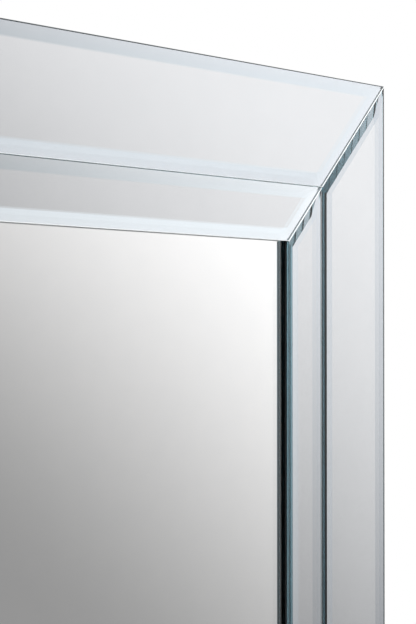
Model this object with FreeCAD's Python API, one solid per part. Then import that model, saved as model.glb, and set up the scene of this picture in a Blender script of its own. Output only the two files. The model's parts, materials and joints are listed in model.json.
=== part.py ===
import FreeCAD, Part
import math
import os

# A full-length wall mirror: a set back centre plate in a frame of two bands of bevelled mirror strips.
# Sizes are in millimetres. X runs to the right seen from the front, Y into the wall and Z up.
# The origin is on the wall plane, midway between the two wall hooks, at the height where the rings bear.
# A level is a distance in front of the wall plane, so a level of 10 lies at Y = -10.

# Overall size, over the outer strips
overall_width = 800.0
overall_height = 1700.0
board_inset = 2.0             # board and packer edges, inside the outer strips' edges

# Mirror glass
outer_strip_width = 80.0
outer_glass_thickness = 4.0
outer_bevel_width = 10.0
outer_bevel_depth = 1.6
inner_strip_width = 40.0
inner_glass_thickness = 4.0
inner_bevel_width = 9.0
inner_bevel_depth = 1.45
centre_glass_thickness = 4.0
glass_gap = 0.3               # between the outer and the inner strips
mitre_gap = 0.1               # between the strips of one band at the mitres
centre_overlap = 10.0         # how far the inner strips cover the centre plate's edge
centre_play = 1.0             # between the centre plate's edge and the packers

# Tape
tape_thickness = 1.0
tape_inset = 0.5              # tape edge, inside the inner strips' and the packers' edges
centre_tape_count = 4
centre_tape_width = 40.0
centre_tape_end = 20.0        # from the centre plate's top and bottom edges to the tape's ends
centre_tape_side = 60.0       # from the centre plate's side edges to the outer tapes' centre lines

# Board
backboard_thickness = 9.0

# Countersunk screws that hold the packers to the board, under the strips
packer_screw_radius = 2.0
packer_screw_head_radius = 4.0
packer_screw_end = 120.0      # from a packer's outer corner to its first screw
packer_screws_upright = 6
packer_screws_across = 3

# Strap hangers and their rings
hanger_inset = 120.0          # from the mirror's side edge to a hanger's middle
hook_drop = 260.0             # from the mirror's top edge to where the hooks bear
strap_width = 16.0
strap_thickness = 1.2
strap_screw_count = 3
strap_screw_pitch = 17.0
ring_wire_radius = 1.5
ring_half_width = 11.0        # to the middle of the wire
ring_side = 6.0               # straight sides between the ring's bar and its round end
ring_corner_radius = 2.5      # middle of the wire
ring_fit = 0.05               # radial play of the ring's bar in the strap
ring_rest_gap = 0.3           # between the ring's end and the board at rest
wall_clearance = 0.5          # between the straps and the wall

# Pan head screws that hold the straps
strap_screw_radius = 1.75
strap_screw_head_radius = 3.5
strap_screw_head_height = 2.0
strap_screw_head_round = 0.9
strap_hole_play = 0.25        # radial, in the strap

# Fits of all screws
screw_play = 0.05             # radial, in the wood
screw_tip_length = 2.5
screw_tip_radius = 0.4
screw_tip_cover = 2.0         # wood left beyond a screw's tip
pilot_extra = 0.5             # pilot hole beyond the tip
recess_length = 3.6           # cross recess in the heads
recess_width = 0.9
recess_depth = 1.1

# Rubber wall bumpers
bumper_radius = 10.0
bumper_inset = 40.0           # from the board's edges
bumper_round = 1.5

# Levels, from the wall forwards
knuckle_radius = ring_wire_radius + ring_fit + strap_thickness
bumper_height = 2.0 * knuckle_radius + wall_clearance
board_rear = bumper_height
board_front = board_rear + backboard_thickness
centre_rear = board_front + tape_thickness
centre_front = centre_rear + centre_glass_thickness
strip_rear = centre_front + tape_thickness

# Places in the frame's plane, as half sizes about its middle
outer_half_width = overall_width / 2.0
outer_half_height = overall_height / 2.0
board_half_width = outer_half_width - board_inset
board_half_height = outer_half_height - board_inset
inner_half_width = outer_half_width - outer_strip_width - glass_gap
inner_half_height = outer_half_height - outer_strip_width - glass_gap
centre_half_width = inner_half_width - inner_strip_width + centre_overlap
centre_half_height = inner_half_height - inner_strip_width + centre_overlap
packer_width = board_half_width - centre_half_width - centre_play
outer_tape_inset = board_inset + tape_inset
mitre_pull = mitre_gap / math.sqrt(2.0)
middle_z = hook_drop - outer_half_height

# Rings and straps
ring_opening = ring_side + ring_half_width - ring_wire_radius
ring_reach = ring_side + ring_half_width
ring_lean = math.asin((knuckle_radius - ring_wire_radius - ring_rest_gap) / ring_reach)
pivot_level = board_rear - knuckle_radius
pivot_z = -ring_opening * math.cos(ring_lean)
hanger_x = outer_half_width - hanger_inset
first_strap_screw = (knuckle_radius + ring_opening) / 2.0
strap_screw_drops = [first_strap_screw + i * strap_screw_pitch for i in range(strap_screw_count)]
strap_screw_bite = backboard_thickness - screw_tip_cover
packer_screw_length = centre_front - board_rear - screw_tip_cover

SIDES = ("top", "left", "bottom", "right")
FRONT = FreeCAD.Vector(0, -1, 0)
REAR = FreeCAD.Vector(0, 1, 0)
ACROSS = FreeCAD.Vector(1, 0, 0)


def point(x, z, level):
    """A point at a level, from its place in the frame's plane."""
    return FreeCAD.Vector(x, -level, z)


def turned(corner, quarter_turns):
    """A place turned about the frame's middle, anticlockwise seen from the front."""
    x, z = corner
    for turn in range(quarter_turns):
        x, z = -z, x
    return x, z


def rail_outline(side, half_width, half_height, rail_width, pull):
    """Corners of one mitred rail of a rectangular frame, clockwise seen from the front."""
    upright = side in ("left", "right")
    half_length = half_height if upright else half_width
    reach = half_width if upright else half_height
    outer = half_length - pull
    inner = half_length - rail_width - pull
    corners = [(-outer, reach), (outer, reach), (inner, reach - rail_width), (-inner, reach - rail_width)]
    placed = [turned(corner, SIDES.index(side)) for corner in corners]
    return [(x, z + middle_z) for x, z in placed]


def rectangle(half_width, half_height, centre_x=0.0):
    """Corners of a rectangle about the frame's middle height, clockwise seen from the front."""
    left, right = centre_x - half_width, centre_x + half_width
    low, high = middle_z - half_height, middle_z + half_height
    return [(left, high), (right, high), (right, low), (left, low)]


def inset(corners, distance):
    """The outline drawn in by a distance on every side."""
    lines = []
    for (x1, z1), (x2, z2) in zip(corners, corners[1:] + corners[:1]):
        length = math.hypot(x2 - x1, z2 - z1)
        along = ((x2 - x1) / length, (z2 - z1) / length)
        inward = (along[1], -along[0])
        lines.append((x1 + inward[0] * distance, z1 + inward[1] * distance, along))
    drawn_in = []
    for (x1, z1, first), (x2, z2, second) in zip(lines[-1:] + lines[:-1], lines):
        cross = first[0] * second[1] - first[1] * second[0]
        travel = ((x2 - x1) * second[1] - (z2 - z1) * second[0]) / cross
        drawn_in.append((x1 + first[0] * travel, z1 + first[1] * travel))
    return drawn_in


def polygon_face(points):
    return Part.Face(Part.makePolygon(points + points[:1]))


def plate(corners, rear, thickness):
    """A flat plate with square edges."""
    face = polygon_face([point(x, z, rear) for x, z in corners])
    return face.extrude(FRONT * thickness)


def bevelled_plate(corners, rear, thickness, bevel_width, bevel_depth):
    """A plate whose front is bevelled along every edge."""
    front = rear + thickness
    back_ring = [point(x, z, rear) for x, z in corners]
    arris_ring = [point(x, z, front - bevel_depth) for x, z in corners]
    front_ring = [point(x, z, front) for x, z in inset(corners, bevel_width)]
    faces = [polygon_face(back_ring), polygon_face(front_ring)]
    for lower, upper in ((back_ring, arris_ring), (arris_ring, front_ring)):
        for i in range(len(corners)):
            after = (i + 1) % len(corners)
            faces.append(polygon_face([lower[i], lower[after], upper[after], upper[i]]))
    shell = Part.makeShell(faces)
    shell.sewShape()
    solid = Part.makeSolid(shell)
    if solid.Volume < 0:
        solid.reverse()
    return solid


def cylinder(radius, length, base, direction):
    return Part.makeCylinder(radius, length, base, direction)


def cross_recess(x, z, level):
    """The cross cut into a screw head, from a level forwards."""
    cut = None
    for wide, high in ((recess_length, recess_width), (recess_width, recess_length)):
        corner = point(x - wide / 2.0, z - high / 2.0, level + recess_depth)
        bar = Part.makeBox(wide, recess_depth, high, corner)
        cut = bar if cut is None else cut.fuse(bar)
    return cut


def pointed_shank(start, direction, radius, length):
    """A screw's shank that ends in a tip."""
    straight = length - screw_tip_length
    shank = cylinder(radius, straight, start, direction)
    tip_start = start + direction * straight
    return shank.fuse(Part.makeCone(radius, screw_tip_radius, screw_tip_length, tip_start, direction))


def countersink(x, z, play):
    """The cone of a flat screw head in a packer's front face, with room all round."""
    depth = packer_screw_head_radius - packer_screw_radius
    wide = packer_screw_head_radius + play
    return Part.makeCone(wide, packer_screw_radius + play, depth, point(x, z, centre_front), REAR)


def packer_screw(x, z):
    shank = pointed_shank(point(x, z, centre_front), REAR, packer_screw_radius, packer_screw_length)
    screw = shank.fuse(countersink(x, z, 0.0)).removeSplitter()
    return screw.cut(cross_recess(x, z, centre_front - recess_depth))


def packer_screw_hole(x, z):
    """The room that a packer screw needs in the packer and the board."""
    depth = packer_screw_length + pilot_extra
    hole = cylinder(packer_screw_radius + screw_play, depth, point(x, z, centre_front), REAR)
    return hole.fuse(countersink(x, z, screw_play))


def packer_screw_places(side):
    """Screw places along the middle of one packer."""
    upright = side in ("left", "right")
    half_length = board_half_height if upright else board_half_width
    reach = board_half_width if upright else board_half_height
    count = packer_screws_upright if upright else packer_screws_across
    first = half_length - packer_screw_end
    places = []
    for i in range(count):
        along = -first + 2.0 * first * i / (count - 1)
        x, z = turned((along, reach - packer_width / 2.0), SIDES.index(side))
        places.append((x, z + middle_z))
    return places


def strap_screw_places(x):
    return [(x, pivot_z - drop) for drop in strap_screw_drops]


def strap_screw(x, z):
    head_level = board_rear - strap_thickness
    head = cylinder(strap_screw_head_radius, strap_screw_head_height, point(x, z, head_level), REAR)
    rim = [edge for edge in head.Edges if edge.BoundBox.YMin > -head_level + strap_screw_head_height / 2.0]
    head = head.makeFillet(strap_screw_head_round, rim)
    length = strap_thickness + strap_screw_bite
    shank = pointed_shank(point(x, z, head_level), FRONT, strap_screw_radius, length)
    return head.fuse(shank).cut(cross_recess(x, z, head_level - strap_screw_head_height))


def strap_screw_hole(x, z):
    """The pilot hole for a strap screw in the board."""
    depth = strap_screw_bite + pilot_extra
    return cylinder(strap_screw_radius + screw_play, depth, point(x, z, board_rear), FRONT)


def hanger_strap(x):
    """A steel strap rolled round the ring's bar at its top end, with a round lower end."""
    left = x - strap_width / 2.0
    length = strap_screw_drops[-1]
    flat = Part.makeBox(strap_width, strap_thickness, length, point(left, pivot_z - length, board_rear))
    end = cylinder(strap_width / 2.0, strap_thickness, point(x, pivot_z - length, board_rear), REAR)
    knuckle = cylinder(knuckle_radius, strap_width, point(left, pivot_z, pivot_level), ACROSS)
    strap = flat.fuse([end, knuckle])
    bore = cylinder(ring_wire_radius + ring_fit, strap_width, point(left, pivot_z, pivot_level), ACROSS)
    strap = strap.cut(bore)
    for hole_x, hole_z in strap_screw_places(x):
        start = point(hole_x, hole_z, board_rear)
        strap = strap.cut(cylinder(strap_screw_radius + strap_hole_play, strap_thickness, start, REAR))
    return strap.removeSplitter()


def d_ring(x):
    """A bent wire ring: a bar in the strap, two sides and a round end, leaning on the board."""
    half = ring_half_width
    bar_half = half - ring_corner_radius
    slant = ring_corner_radius * (1.0 - math.sqrt(0.5))

    def place(across, up):
        return FreeCAD.Vector(across, 0, up)

    def arc(start, middle, end):
        return Part.Arc(place(*start), place(*middle), place(*end)).toShape()

    def line(start, end):
        return Part.LineSegment(place(*start), place(*end)).toShape()

    corner_up = ring_corner_radius
    edges = [
        line((-bar_half, 0), (bar_half, 0)),
        arc((bar_half, 0), (half - slant, slant), (half, corner_up)),
        line((half, corner_up), (half, ring_side)),
        arc((half, ring_side), (0, ring_reach), (-half, ring_side)),
        line((-half, ring_side), (-half, corner_up)),
        arc((-half, corner_up), (-half + slant, slant), (-bar_half, 0)),
    ]
    section = Part.Wire(Part.makeCircle(ring_wire_radius, place(-bar_half, 0), ACROSS))
    ring = Part.Wire(edges).makePipeShell([section], True, False)
    ring.rotate(FreeCAD.Vector(0, 0, 0), ACROSS, math.degrees(ring_lean))
    ring.translate(point(x, pivot_z, pivot_level))
    return ring


def bumper(x, z):
    body = cylinder(bumper_radius, bumper_height, point(x, z, board_rear), REAR)
    rim = [edge for edge in body.Edges if edge.BoundBox.YMin > -board_rear + bumper_height / 2.0]
    return body.makeFillet(bumper_round, rim)


def packer(side):
    """A flat rail round the centre plate, level with its front, that carries both bands of strips."""
    corners = rail_outline(side, board_half_width, board_half_height, packer_width, 0.0)
    holes = [packer_screw_hole(x, z) for x, z in packer_screw_places(side)]
    return plate(corners, board_front, centre_front - board_front).cut(holes)


def outer_glass_outline(side):
    return rail_outline(side, outer_half_width, outer_half_height, outer_strip_width, mitre_pull)


def inner_glass_outline(side):
    return rail_outline(side, inner_half_width, inner_half_height, inner_strip_width, mitre_pull)


def backboard():
    board = plate(rectangle(board_half_width, board_half_height), board_rear, backboard_thickness)
    holes = [packer_screw_hole(x, z) for side in SIDES for x, z in packer_screw_places(side)]
    for x in (-hanger_x, hanger_x):
        holes.extend(strap_screw_hole(*place) for place in strap_screw_places(x))
    return board.cut(holes)


def centre_tapes():
    first = centre_half_width - centre_tape_side
    tapes = []
    for i in range(centre_tape_count):
        x = -first + 2.0 * first * i / (centre_tape_count - 1)
        corners = rectangle(centre_tape_width / 2.0, centre_half_height - centre_tape_end, x)
        tapes.append(plate(corners, board_front, tape_thickness))
    return Part.makeCompound(tapes)


def wall_bumpers():
    across = board_half_width - bumper_inset
    up = board_half_height - bumper_inset
    return Part.makeCompound([bumper(x, middle_z + z) for x in (-across, across) for z in (-up, up)])


nodes = {"backboard": backboard()}
for side in SIDES:
    nodes["packer_" + side] = packer(side)
    outer_outline = outer_glass_outline(side)
    inner_outline = inner_glass_outline(side)
    nodes["outer_tape_" + side] = plate(inset(outer_outline, outer_tape_inset), centre_front, tape_thickness)
    nodes["inner_tape_" + side] = plate(inset(inner_outline, tape_inset), centre_front, tape_thickness)
    nodes["outer_mirror_" + side] = bevelled_plate(
        outer_outline, strip_rear, outer_glass_thickness, outer_bevel_width, outer_bevel_depth)
    nodes["inner_mirror_" + side] = bevelled_plate(
        inner_outline, strip_rear, inner_glass_thickness, inner_bevel_width, inner_bevel_depth)
centre_corners = rectangle(centre_half_width, centre_half_height)
nodes["centre_mirror"] = plate(centre_corners, centre_rear, centre_glass_thickness)
nodes["centre_tape"] = centre_tapes()
nodes["packer_screws"] = Part.makeCompound(
    [packer_screw(x, z) for side in SIDES for x, z in packer_screw_places(side)])
for name, x in (("left", -hanger_x), ("right", hanger_x)):
    nodes["hanger_strap_" + name] = hanger_strap(x)
    nodes["d_ring_" + name] = d_ring(x)
nodes["hanger_screws"] = Part.makeCompound(
    [strap_screw(*place) for x in (-hanger_x, hanger_x) for place in strap_screw_places(x)])
nodes["wall_bumpers"] = wall_bumpers()

os.makedirs("parts", exist_ok=True)
for name, shape in nodes.items():
    shape.exportStep(os.path.join("parts", name + ".step"))
print("ring pivots at x = +-%.3f, y = %.3f, z = %.3f" % (hanger_x, -pivot_level, pivot_z))
print("ring lean %.3f degrees, rear of the strips at level %.3f" % (math.degrees(ring_lean), strip_rear))
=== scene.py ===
import bmesh
import bpy
import json
import math
from mathutils import Matrix, Vector


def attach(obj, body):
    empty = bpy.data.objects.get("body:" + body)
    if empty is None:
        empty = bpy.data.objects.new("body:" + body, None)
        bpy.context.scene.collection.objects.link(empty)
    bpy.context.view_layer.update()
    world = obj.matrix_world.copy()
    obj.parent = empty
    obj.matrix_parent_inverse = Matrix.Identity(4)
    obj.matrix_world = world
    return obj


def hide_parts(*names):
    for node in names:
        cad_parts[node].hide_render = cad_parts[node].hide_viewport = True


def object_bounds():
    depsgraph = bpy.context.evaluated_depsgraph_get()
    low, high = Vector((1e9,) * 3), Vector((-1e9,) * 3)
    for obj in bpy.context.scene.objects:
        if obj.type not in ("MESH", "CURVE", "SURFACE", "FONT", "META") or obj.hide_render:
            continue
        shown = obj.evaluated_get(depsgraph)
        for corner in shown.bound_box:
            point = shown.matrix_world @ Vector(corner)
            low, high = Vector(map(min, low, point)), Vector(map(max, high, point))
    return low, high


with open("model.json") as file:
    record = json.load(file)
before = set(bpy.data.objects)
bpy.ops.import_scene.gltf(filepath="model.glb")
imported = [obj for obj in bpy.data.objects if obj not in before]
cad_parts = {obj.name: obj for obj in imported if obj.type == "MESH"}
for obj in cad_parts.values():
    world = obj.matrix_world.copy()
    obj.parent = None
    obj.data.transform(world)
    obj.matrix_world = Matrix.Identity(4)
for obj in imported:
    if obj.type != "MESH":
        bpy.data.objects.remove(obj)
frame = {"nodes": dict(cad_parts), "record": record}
cad_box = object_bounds()
scene = bpy.context.scene
nodes = frame["nodes"]
node_slots = {part["node"]: part["material_slot"] for part in frame["record"]["subparts"]}

# Glass shapes
STRIPS = {"rail": ("top", "bottom"), "stile": ("left", "right")}
ARRIS = 0.0004                         # width of the small chamfers on the glass edges
SEAL_LIP = 0.0004                      # how far the rim's seal reaches past the arris on the rails
SILVER_CLEAR = 0.00003                 # between the silver and the tape behind it
NEAR = 2 * ARRIS                       # places closer than this count as level with each other
CORNER_DIGITS, LEVEL_DIGITS = 6, 5     # decimals to which the solids' corners and levels are rounded
X_AXIS, Z_AXIS = 0, 2
REAR_ARRIS, SIDE, FRONT_ARRIS, LIP, SLOPE = range(5)   # bands of faces round a strip, from the rear
GROUND_BANDS = {"rail": (REAR_ARRIS, SIDE, FRONT_ARRIS), "stile": (FRONT_ARRIS,)}     # where is_ground holds
SEALED_BANDS = {"rail": (REAR_ARRIS, SIDE, FRONT_ARRIS, LIP), "stile": (REAR_ARRIS, SIDE)}    # on the rim
SILVER, GROUND, SEAL = 1, 2, 3         # material slots of a glass piece, after the clear glass in slot 0
BEVEL, EDGE = "bevel", "edge"          # marks on the faces round a glass piece

# Glass colours, with tints and painted bevel shades chosen to match the greys in the photograph
WHITE = (1.0, 1.0, 1.0, 1.0)
IOR = 1.52
GLASS_TINT = (0.10, 0.46, 0.54, 1.0)   # colour that a long way through the glass takes on
STRIP_DENSITY, CENTRE_DENSITY = 24.0, 5.0    # how fast it takes that colour on
EDGE_TINT = (0.50, 0.80, 0.90, 1.0)
FACE_TINT = (0.80, 0.76, 0.768, 1.0)
FILM_TINT = (0.985, 0.987, 0.988, 1.0)       # of a faint, uneven film on the glass
# Painted light and shade on the bevels: the rails' bevels are made lighter and the stiles' darker, standing
# in for how light falls on them
BEVEL_PAINTED_SHADES = {
    ("outer", "rail"): (0.72, 0.735, 0.776, 1.0),
    ("outer", "stile"): (0.58, 0.590, 0.634, 1.0),
    ("inner", "rail"): (0.87, 0.884, 0.920, 1.0),
    ("inner", "stile"): (0.72, 0.725, 0.768, 1.0),
}

# Node trees
NOISE_ENDS = (0.3, 0.7)                # most of a noise lies between these
COLOUR_INPUTS = slice(6, 8)            # the two colours of a Mix node that is set to colours
COLOUR_OUTPUT = 2

# Camera, fitted to the frame's edges in the photograph
CAMERA_PLACE = (-0.85308, -0.85867, 0.06726)
CAMERA_YAW = math.radians(51.297)
CAMERA_PITCH = math.radians(0.9226)
LENS_MM = 116.02
SENSOR_MM = 36.0
BOUNCES = 24                           # enough for light that runs to and fro inside the bevels

# Floor, lamps and the cards that the mirror reflects
FLOOR_FADE, FLOOR_RADIUS = 2.0, 6.0    # where the floor starts to fade and where it ends
WITHOUT_HEIGHT = (1.0, 1.0, 0.0)
SOFT_LEVEL = 0.62                      # of the surroundings, on matt surfaces
LAMP_PLACES = {"key": (-2.2, -3.0, 0.6), "back": (1.8, 3.2, 1.8)}
LAMP_WATTS = 140.0
LAMP_SIZE = 2.5
LEFTWARDS = (-1.0, 0.0, 0.0)
RIGHTWARDS = (1.0, 0.0, 0.0)
DOWNWARDS = (0.0, -1.0, 0.0)
UPWARDS = (0.0, 1.0, 0.0)
DIAGONAL = (1.0, 1.0, 0.0)
SIDE_CARD = {
    "centre": Vector((0.44054, -0.26737, 0.03186)),
    "across": Vector((0.65347, 0.75695, 0.0)),
    "edges": (-0.60, 0.50, -1.47, 0.60),       # left, right, bottom and top from the centre
    "levels": (0.325, 1.33),                   # of the dark and the bright end
    "shade": (-0.31, 0.39),                    # where the shade starts and ends along the card's diagonal
    # Direction, start, end and the level that the card fades to
    "fades": ((DOWNWARDS, 0.23, 0.95, 0.72), (UPWARDS, 0.42, 0.60, 1.0), (RIGHTWARDS, 0.35, 0.50, 1.0)),
    "clears": (0.15, 0.60),                    # where it starts to turn clear, to the left, and ends
}
FRONT_CARD = {
    "centre": Vector((0.0, -4.0, -0.59)),
    "across": Vector((1.0, 0.0, 0.0)),
    "edges": (-1.5, 1.5, -1.8, 1.8),
    "levels": (0.42, 1.05),
    "shade": (-1.5, 1.2),
    "fades": ((RIGHTWARDS, 0.7, 1.5, 1.0), (DOWNWARDS, 0.2, 0.85, 0.9), (UPWARDS, 1.3, 1.8, 1.0)),
    "clears": (0.7, 1.5),
}
MIRRORED = Vector((-1.0, 1.0, 1.0))    # turns the right card's place into the left one's


# Node helpers

def new_material(name):
    material = bpy.data.materials.new(name)
    material.use_nodes = True
    return material, material.node_tree, material.node_tree.nodes["Principled BSDF"]


def add(tree, kind, **settings):
    node = tree.nodes.new(kind)
    for key, value in settings.items():
        setattr(node, key, value)
    return node


def place(tree):
    return add(tree, "ShaderNodeTexCoord").outputs["Object"]


def noise(tree, scale, detail=3.0, stretch=None):
    """Noise over the object's own coordinates, in metres."""
    texture = add(tree, "ShaderNodeTexNoise")
    texture.inputs["Scale"].default_value = scale
    texture.inputs["Detail"].default_value = detail
    source = place(tree)
    if stretch:
        mapping = add(tree, "ShaderNodeMapping")
        mapping.inputs["Scale"].default_value = stretch
        tree.links.new(source, mapping.inputs["Vector"])
        source = mapping.outputs["Vector"]
    tree.links.new(source, texture.inputs["Vector"])
    return texture.outputs["Fac"]


def mapped(tree, value, ends, levels, interpolation):
    """A value between two ends, turned into a value between two levels."""
    node = add(tree, "ShaderNodeMapRange", interpolation_type=interpolation)
    for key, number in zip(("From Min", "From Max", "To Min", "To Max"), ends + levels):
        node.inputs[key].default_value = number
    tree.links.new(value, node.inputs["Value"])
    return node.outputs["Result"]


def spread(tree, grain, low=0.0, high=1.0):
    """A noise, stretched to run from low to high."""
    return mapped(tree, grain, NOISE_ENDS, (low, high), "LINEAR")


def smooth_step(tree, value, ends, levels=(0.0, 1.0)):
    return mapped(tree, value, ends, levels, "SMOOTHSTEP")


def reach(tree, direction):
    """How far a point lies in a direction from the object's own origin."""
    node = add(tree, "ShaderNodeVectorMath", operation="DOT_PRODUCT")
    node.inputs[1].default_value = direction
    tree.links.new(place(tree), node.inputs[0])
    return node.outputs["Value"]


def mix_colour(tree, factor, first, second, blend="MIX"):
    """Two colours mixed, each one a fixed colour or the output of a node."""
    node = add(tree, "ShaderNodeMix", data_type="RGBA", blend_type=blend)
    tree.links.new(factor, node.inputs["Factor"])
    for socket, value in zip(node.inputs[COLOUR_INPUTS], (first, second)):
        if isinstance(value, bpy.types.NodeSocket):
            tree.links.new(value, socket)
        else:
            socket.default_value = value
    return node.outputs[COLOUR_OUTPUT]


def mix_shaders(tree, factor, first, second):
    node = add(tree, "ShaderNodeMixShader")
    for socket, source in zip(node.inputs, (factor, first, second)):
        tree.links.new(source, socket)
    return node.outputs["Shader"]


def mottle(tree, shader, grain, first, second):
    """Two colours spread over the surface by a noise."""
    tree.links.new(mix_colour(tree, spread(tree, grain), first, second), shader.inputs["Base Color"])


def roughen(tree, shader, grain, low, high):
    tree.links.new(spread(tree, grain, low, high), shader.inputs["Roughness"])


def bump(tree, shader, height, strength, distance):
    node = add(tree, "ShaderNodeBump")
    node.inputs["Strength"].default_value = strength
    node.inputs["Distance"].default_value = distance
    tree.links.new(height, node.inputs["Height"])
    tree.links.new(node.outputs["Normal"], shader.inputs["Normal"])


# Materials

def clear_glass(name, face_tint, bevel_painted_shade, density):
    """Float glass, whose edges have a tint of their own and whose bevels carry a painted shade, where the
    faces are marked.
    """
    material, tree, shader = new_material(name)
    shader.inputs["IOR"].default_value = IOR
    shader.inputs["Transmission Weight"].default_value = 1.0
    shader.inputs["Roughness"].default_value = 0.0
    colour = face_tint
    # The bevels take the painted shade, the edges their own teal tint
    for mark, tint in ((BEVEL, bevel_painted_shade), (EDGE, EDGE_TINT)):
        marked = add(tree, "ShaderNodeAttribute", attribute_name=mark).outputs["Fac"]
        colour = mix_colour(tree, marked, colour, tint)
    film = spread(tree, noise(tree, scale=60.0))
    tree.links.new(mix_colour(tree, film, colour, FILM_TINT, "MULTIPLY"), shader.inputs["Base Color"])
    body = add(tree, "ShaderNodeVolumeAbsorption")
    body.inputs["Color"].default_value = GLASS_TINT
    body.inputs["Density"].default_value = density
    tree.links.new(body.outputs["Volume"], tree.nodes["Material Output"].inputs["Volume"])
    return material


def ground_glass():
    """The milky, finely ground arrises."""
    material, tree, shader = new_material("ground_glass")
    grain = noise(tree, scale=6000.0)
    mottle(tree, shader, grain, first=(0.93, 0.95, 0.955, 1.0), second=(0.85, 0.885, 0.895, 1.0))
    roughen(tree, shader, grain, low=0.45, high=0.7)
    return material


def edge_seal():
    """The dark lacquer that seals the outermost edges against damp."""
    material, tree, shader = new_material("edge_seal")
    streak = noise(tree, scale=700.0, detail=2.0)
    mottle(tree, shader, streak, first=(0.030, 0.040, 0.046, 1.0), second=(0.050, 0.062, 0.070, 1.0))
    roughen(tree, shader, streak, low=0.35, high=0.5)
    bump(tree, shader, streak, strength=0.2, distance=0.0001)
    return material


def silvering():
    """The mirror coating on the back of the glass, very faintly clouded."""
    material, tree, shader = new_material("silver")
    shader.inputs["Metallic"].default_value = 1.0
    shader.inputs["Roughness"].default_value = 0.0
    cloud = noise(tree, scale=5.0)
    mottle(tree, shader, cloud, first=(0.97, 0.95, 0.945, 1.0), second=(0.96, 0.942, 0.937, 1.0))
    return material


def painted_board():
    """Matt black paint with a fine stipple."""
    material, tree, shader = new_material("painted_board")
    patches = noise(tree, scale=30.0)
    mottle(tree, shader, patches, first=(0.017, 0.017, 0.019, 1.0), second=(0.022, 0.022, 0.024, 1.0))
    stipple = noise(tree, scale=700.0, detail=2.0)
    roughen(tree, shader, stipple, low=0.46, high=0.68)
    bump(tree, shader, stipple, strength=0.6, distance=0.0006)
    return material


def foam_tape():
    """Black foam with fine cells."""
    material, tree, shader = new_material("foam_tape")
    cells = noise(tree, scale=3500.0, detail=2.0)
    mottle(tree, shader, cells, first=(0.008, 0.008, 0.009, 1.0), second=(0.02, 0.02, 0.022, 1.0))
    roughen(tree, shader, cells, low=0.8, high=0.95)
    bump(tree, shader, cells, strength=0.5, distance=0.0002)
    return material


def zinc_plate():
    """Zinc plated steel with faint marks from drawing."""
    material, tree, shader = new_material("zinc_plate")
    shader.inputs["Metallic"].default_value = 1.0
    bloom = noise(tree, scale=350.0)
    mottle(tree, shader, bloom, first=(0.68, 0.69, 0.70, 1.0), second=(0.55, 0.56, 0.56, 1.0))
    drawn = noise(tree, scale=900.0, detail=2.0, stretch=(6.0, 6.0, 0.5))
    roughen(tree, shader, drawn, low=0.24, high=0.42)
    bump(tree, shader, drawn, strength=0.15, distance=0.0001)
    return material


def soft_rubber():
    """Black rubber with a dull bloom."""
    material, tree, shader = new_material("soft_rubber")
    bloom = noise(tree, scale=500.0)
    mottle(tree, shader, bloom, first=(0.018, 0.018, 0.018, 1.0), second=(0.035, 0.034, 0.033, 1.0))
    roughen(tree, shader, bloom, low=0.62, high=0.8)
    bump(tree, shader, noise(tree, scale=2500.0), strength=0.3, distance=0.0002)
    return material


# Mirror glass

def corner_rings(node):
    """A glass solid's corners, rear first: for each level a clockwise ring of (x, z), and its y."""
    levels = {}
    for vertex in node.data.vertices:
        corner = (round(vertex.co.x, CORNER_DIGITS), round(vertex.co.z, CORNER_DIGITS))
        levels.setdefault(round(vertex.co.y, LEVEL_DIGITS), set()).add(corner)
    rings = []
    for y in sorted(levels, reverse=True):
        corners = list(levels[y])
        middle_x = sum(x for x, z in corners) / len(corners)
        middle_z = sum(z for x, z in corners) / len(corners)
        corners.sort(key=lambda corner: -math.atan2(corner[1] - middle_z, corner[0] - middle_x))
        rings.append((corners, y))
    return rings


def drawn_in(corners, distance):
    """A clockwise ring of corners with every side moved inwards."""
    lines = []
    for (x1, z1), (x2, z2) in zip(corners, corners[1:] + corners[:1]):
        along = Vector((x2 - x1, z2 - z1)).normalized()
        lines.append((x1 + along.y * distance, z1 - along.x * distance, along))
    ring = []
    for (x1, z1, first), (x2, z2, second) in zip(lines[-1:] + lines[:-1], lines):
        cross = first.x * second.y - first.y * second.x
        travel = ((x2 - x1) * second.y - (z2 - z1) * second.x) / cross
        ring.append((x1 + first.x * travel, z1 + first.y * travel))
    return ring


def on_rim(first, second):
    """Whether two corners lie along the mirror's outer rim."""
    return any(abs(first[axis] - rim[axis]) < NEAR and abs(second[axis] - rim[axis]) < NEAR
               for axis in (X_AXIS, Z_AXIS) for rim in cad_box)


def is_ground(first, second):
    """Whether the edge between two corners is ground: on mitres and on level edges that face the middle."""
    run = second - first
    if abs(run.x) < NEAR:
        return False
    if abs(run.z) > NEAR:
        return True
    return run.x * (first.z - middle.z) < 0


def glass_piece(name, rings, materials, ground_bands=(), sealed_bands=()):
    """A closed glass solid through the rings, rear first. Its rear face carries the silver."""
    mesh = bpy.data.meshes.new(name)
    shape = bmesh.new()
    bevel, edge = [shape.faces.layers.float.new(mark) for mark in (BEVEL, EDGE)]
    loops = [[shape.verts.new((x, y, z)) for x, z in corners] for corners, y in rings]
    shape.faces.new(loops[0]).material_index = SILVER
    shape.faces.new(loops[-1])
    for band, (lower, upper) in enumerate(zip(loops, loops[1:])):
        for i in range(len(lower)):
            j = (i + 1) % len(lower)
            face = shape.faces.new((lower[i], lower[j], upper[j], upper[i]))
            ends = lower[i].co, lower[j].co
            if band in sealed_bands and on_rim(*ends):
                face.material_index = SEAL
            elif band in (LIP, SLOPE):
                face[bevel] = 1.0
            elif band in ground_bands and is_ground(*ends):
                face.material_index = GROUND
            else:
                face[edge] = 1.0
    bmesh.ops.recalc_face_normals(shape, faces=shape.faces)
    shape.to_mesh(mesh)
    shape.free()
    for material in materials:
        mesh.materials.append(material)
    piece = bpy.data.objects.new(name, mesh)
    scene.collection.objects.link(piece)
    return piece


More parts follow.
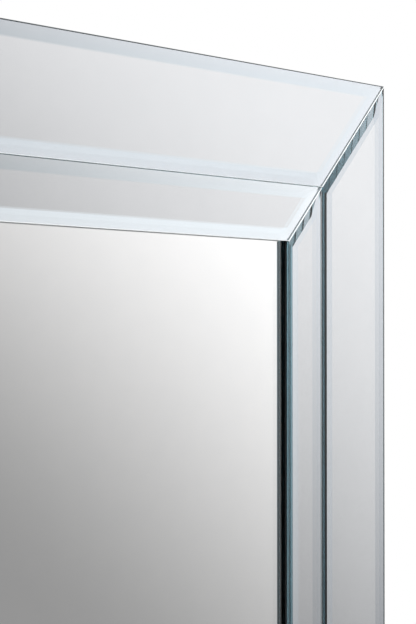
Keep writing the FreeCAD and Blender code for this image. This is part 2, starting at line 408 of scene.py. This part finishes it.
def bevelled_strip(node_name, materials, kind):
    """A strip of the frame. Its solid has three levels: the rear, the bevel's outer edge and the front."""
    (rear, rear_y), (edge, edge_y), (front, front_y) = corner_rings(nodes[node_name])
    bevel_width = max(z for x, z in edge) - max(z for x, z in front)
    slope = (edge_y - front_y) / bevel_width
    lip = ARRIS + SEAL_LIP
    rings = [
        (drawn_in(rear, ARRIS), rear_y - SILVER_CLEAR),
        (rear, rear_y - ARRIS),
        (edge, edge_y + ARRIS),
        (drawn_in(edge, ARRIS), edge_y - slope * ARRIS),
        (drawn_in(edge, lip), edge_y - slope * lip),
        (front, front_y),
    ]
    return glass_piece("glass_" + node_name, rings, materials, GROUND_BANDS[kind], SEALED_BANDS[kind])


def flat_plate(node_name, materials):
    """A plate without bevels. Its solid has two levels: the rear and the front."""
    (rear, rear_y), (front, front_y) = corner_rings(nodes[node_name])
    rings = [
        (drawn_in(rear, ARRIS), rear_y - SILVER_CLEAR),
        (rear, rear_y - ARRIS),
        (front, front_y + ARRIS),
        (drawn_in(front, ARRIS), front_y),
    ]
    return glass_piece("glass_" + node_name, rings, materials)


low, high = cad_box
middle = (low + high) / 2
silver = silvering()
centre_glass = clear_glass("centre_glass", WHITE, WHITE, CENTRE_DENSITY)
ground = ground_glass()
seal = edge_seal()
glass = {"centre_mirror": flat_plate("centre_mirror", (centre_glass, silver))}
# One copy of the strip glass for each band and kind of strip, differing only in the painted shade on its
# bevels
for (frame_band, kind), tint in BEVEL_PAINTED_SHADES.items():
    strip_glass = clear_glass("%s_%s_glass" % (frame_band, kind), FACE_TINT, tint, STRIP_DENSITY)
    for side in STRIPS[kind]:
        node_name = "%s_mirror_%s" % (frame_band, side)
        glass[node_name] = bevelled_strip(node_name, (strip_glass, silver, ground, seal), kind)
for node_name, piece in glass.items():
    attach(piece, "mirror")
    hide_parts(node_name)

# Board, tape, hangers, screws and bumpers

finishes = {
    "black_board": painted_board(),
    "black_tape": foam_tape(),
    "zinc_steel": zinc_plate(),
    "black_rubber": soft_rubber(),
}
for node_name, node in nodes.items():
    if node_name not in glass:
        node.data.materials.clear()
        node.data.materials.append(finishes[node_slots[node_name]])


# Floor, surroundings and lamps

def rectangle(name, corners, material):
    mesh = bpy.data.meshes.new(name)
    mesh.from_pydata(corners, [], [range(len(corners))])
    mesh.materials.append(material)
    sheet = bpy.data.objects.new(name, mesh)
    scene.collection.objects.link(sheet)
    return sheet


def studio_floor(level):
    """A pale floor under the mirror that fades out all round."""
    material, tree, shader = new_material("pale_floor")
    flat = add(tree, "ShaderNodeVectorMath", operation="MULTIPLY")
    flat.inputs[1].default_value = WITHOUT_HEIGHT
    tree.links.new(place(tree), flat.inputs[0])
    radius = add(tree, "ShaderNodeVectorMath", operation="LENGTH")
    tree.links.new(flat.outputs["Vector"], radius.inputs[0])
    fade = smooth_step(tree, radius.outputs["Value"], (FLOOR_FADE, FLOOR_RADIUS), levels=(1.0, 0.0))
    tree.links.new(fade, shader.inputs["Alpha"])
    clouds = noise(tree, scale=2.0)
    mottle(tree, shader, clouds, first=(0.80, 0.80, 0.80, 1.0), second=(0.78, 0.78, 0.78, 1.0))
    shader.inputs["Roughness"].default_value = 0.9
    half = FLOOR_RADIUS
    corners = [(-half, -half, level), (half, -half, level), (half, half, level), (-half, half, level)]
    floor = rectangle("floor", corners, material)


def reflection_card(name, centre, across, edges, levels, shade, fades, clears):
    """An upright card, shaded from grey to white and clear at its left, that only mirrors and glass see."""
    material, tree, shader = new_material(name)
    tree.nodes.remove(shader)
    level = smooth_step(tree, reach(tree, DIAGONAL), shade, levels)
    for direction, start, end, far_level in fades:
        mix = add(tree, "ShaderNodeMix")
        mix.inputs["B"].default_value = far_level
        fade = smooth_step(tree, reach(tree, direction), (start, end))
        tree.links.new(fade, mix.inputs["Factor"])
        tree.links.new(level, mix.inputs["A"])
        level = mix.outputs["Result"]
    light = add(tree, "ShaderNodeEmission")
    tree.links.new(level, light.inputs["Strength"])
    clear = add(tree, "ShaderNodeBsdfTransparent")
    clearing = smooth_step(tree, reach(tree, LEFTWARDS), clears)
    surface = mix_shaders(tree, clearing, light.outputs["Emission"], clear.outputs["BSDF"])
    tree.links.new(surface, tree.nodes["Material Output"].inputs["Surface"])
    left, right, bottom, top = edges
    corners = [(left, bottom, 0.0), (right, bottom, 0.0), (right, top, 0.0), (left, top, 0.0)]
    card = rectangle(name, corners, material)
    turn = Matrix.Rotation(math.atan2(across.y, across.x), 4, "Z")
    card.matrix_world = Matrix.Translation(centre) @ turn @ Matrix.Rotation(math.pi / 2, 4, "X")
    card.visible_camera = card.visible_diffuse = card.visible_shadow = False


def surroundings():
    """White where the camera, a mirror or glass sees it, softer where it lights matt surfaces."""
    world = bpy.data.worlds.new("studio")
    scene.world = world
    world.use_nodes = True
    tree = world.node_tree
    soft = tree.nodes["Background"]
    soft.inputs["Strength"].default_value = SOFT_LEVEL
    white = add(tree, "ShaderNodeBackground")
    for background in (soft, white):
        background.inputs["Color"].default_value = WHITE
    path = add(tree, "ShaderNodeLightPath")
    seen = path.outputs["Is Camera Ray"]
    for ray in ("Is Glossy Ray", "Is Transmission Ray"):
        either = add(tree, "ShaderNodeMath", operation="MAXIMUM")
        tree.links.new(seen, either.inputs[0])
        tree.links.new(path.outputs[ray], either.inputs[1])
        seen = either.outputs[0]
    surface = mix_shaders(tree, seen, soft.outputs["Background"], white.outputs["Background"])
    tree.links.new(surface, tree.nodes["World Output"].inputs["Surface"])


def soft_lamp(name, spot):
    """A large lamp that faces the mirror's middle and that no mirror or glass shows."""
    data = bpy.data.lights.new(name, "AREA")
    data.energy = LAMP_WATTS
    data.size = LAMP_SIZE
    lamp = bpy.data.objects.new(name, data)
    lamp.location = spot
    lamp.rotation_euler = (middle - Vector(spot)).to_track_quat("-Z", "Y").to_euler()
    lamp.visible_glossy = lamp.visible_transmission = False
    scene.collection.objects.link(lamp)


studio_floor(low.z)
reflection_card("right_card", **SIDE_CARD)
reflection_card("left_card", **dict(SIDE_CARD, centre=SIDE_CARD["centre"] * MIRRORED,
                                    across=SIDE_CARD["across"] * MIRRORED))
reflection_card("front_card", **FRONT_CARD)
surroundings()
for lamp_name, lamp_place in LAMP_PLACES.items():
    soft_lamp(lamp_name, lamp_place)

# Camera

camera_data = bpy.data.cameras.new("camera")
camera_data.sensor_fit = "AUTO"
camera_data.sensor_width = SENSOR_MM
camera_data.lens = LENS_MM
camera = bpy.data.objects.new("camera", camera_data)
camera.location = CAMERA_PLACE
camera.rotation_euler = (math.pi / 2 + CAMERA_PITCH, 0.0, -CAMERA_YAW)
scene.collection.objects.link(camera)
scene.camera = camera
scene.view_settings.view_transform = "Standard"
scene.cycles.max_bounces = BOUNCES
scene.cycles.glossy_bounces = BOUNCES
scene.cycles.transmission_bounces = BOUNCES
